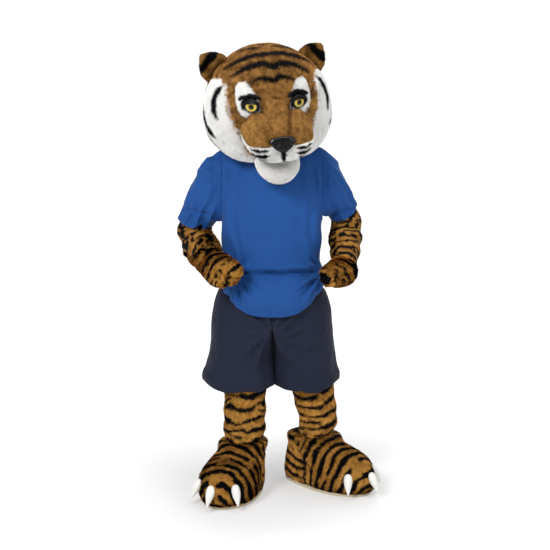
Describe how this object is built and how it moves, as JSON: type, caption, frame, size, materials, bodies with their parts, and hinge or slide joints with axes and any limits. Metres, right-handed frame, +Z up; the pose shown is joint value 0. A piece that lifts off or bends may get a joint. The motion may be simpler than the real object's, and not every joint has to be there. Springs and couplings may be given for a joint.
{
  "type": "tiger mascot costume",
  "caption": "Full-body tiger mascot costume: oversized fur head, furred suit with paws and clawed boots, worn with a plain T-shirt and shorts.",
  "frame": {"origin": "in the suit's neck, between the wearer's shoulders, where the costume is held up; the floor is 1.44 m below it", "axes": "+Z up; the front of the costume faces -Y; +X is the wearer's left"},
  "size_m": [0.9009, 0.5987, 1.919],
  "materials": {
    "orange_fur": "long pile fake fur, orange tan with black stripes",
    "brown_fur": "long pile fake fur, mottled brown",
    "white_fur": "pile fake fur, white",
    "black_fur": "short pile fake fur, black",
    "blue_jersey": "smooth blue jersey knit",
    "navy_twill": "plain dark navy woven cloth",
    "white_claw": "white vinyl over foam, semi-matt",
    "pale_sole": "pale foam rubber sole",
    "black_vinyl": "glossy black vinyl",
    "eye_resin": "painted clear eye, glossy",
    "neck_cloth": "plain black lining cloth"
  },
  "bodies": {
    "root": {"suit_front": "orange_fur", "suit_back": "orange_fur", "suit_arm_right": "orange_fur", "suit_arm_left": "orange_fur", "suit_forearm_right": "orange_fur", "suit_forearm_left": "orange_fur", "suit_leg_right": "orange_fur", "suit_leg_left": "orange_fur", "paw_right": "orange_fur", "paw_left": "orange_fur", "boot_toe_right": "orange_fur", "boot_toe_left": "orange_fur", "boot_heel_right": "orange_fur", "boot_heel_left": "orange_fur", "boot_sole_right": "pale_sole", "boot_sole_left": "pale_sole", "claw_right_1": "white_claw", "claw_right_2": "white_claw", "claw_right_3": "white_claw", "claw_left_1": "white_claw", "claw_left_2": "white_claw", "claw_left_3": "white_claw", "shirt_front": "blue_jersey", "shirt_back": "blue_jersey", "shirt_sleeve_right": "blue_jersey", "shirt_sleeve_left": "blue_jersey", "shirt_neckband": "blue_jersey", "shorts_front_right": "navy_twill", "shorts_front_left": "navy_twill", "shorts_back_right": "navy_twill", "shorts_back_left": "navy_twill", "shorts_waistband": "navy_twill", "head_crown": "brown_fur", "head_cheek_right": "white_fur", "head_cheek_left": "white_fur", "head_eye_patch_right": "white_fur", "head_eye_patch_left": "white_fur", "head_chin": "white_fur", "snout_top": "brown_fur", "snout_pads": "white_fur", "head_neck": "neck_cloth", "ear_right": "brown_fur", "ear_left": "brown_fur", "eye_right": "eye_resin", "eye_left": "eye_resin", "brow_right": "black_fur", "brow_left": "black_fur", "nose": "black_vinyl"}
  },
  "joints": []
}
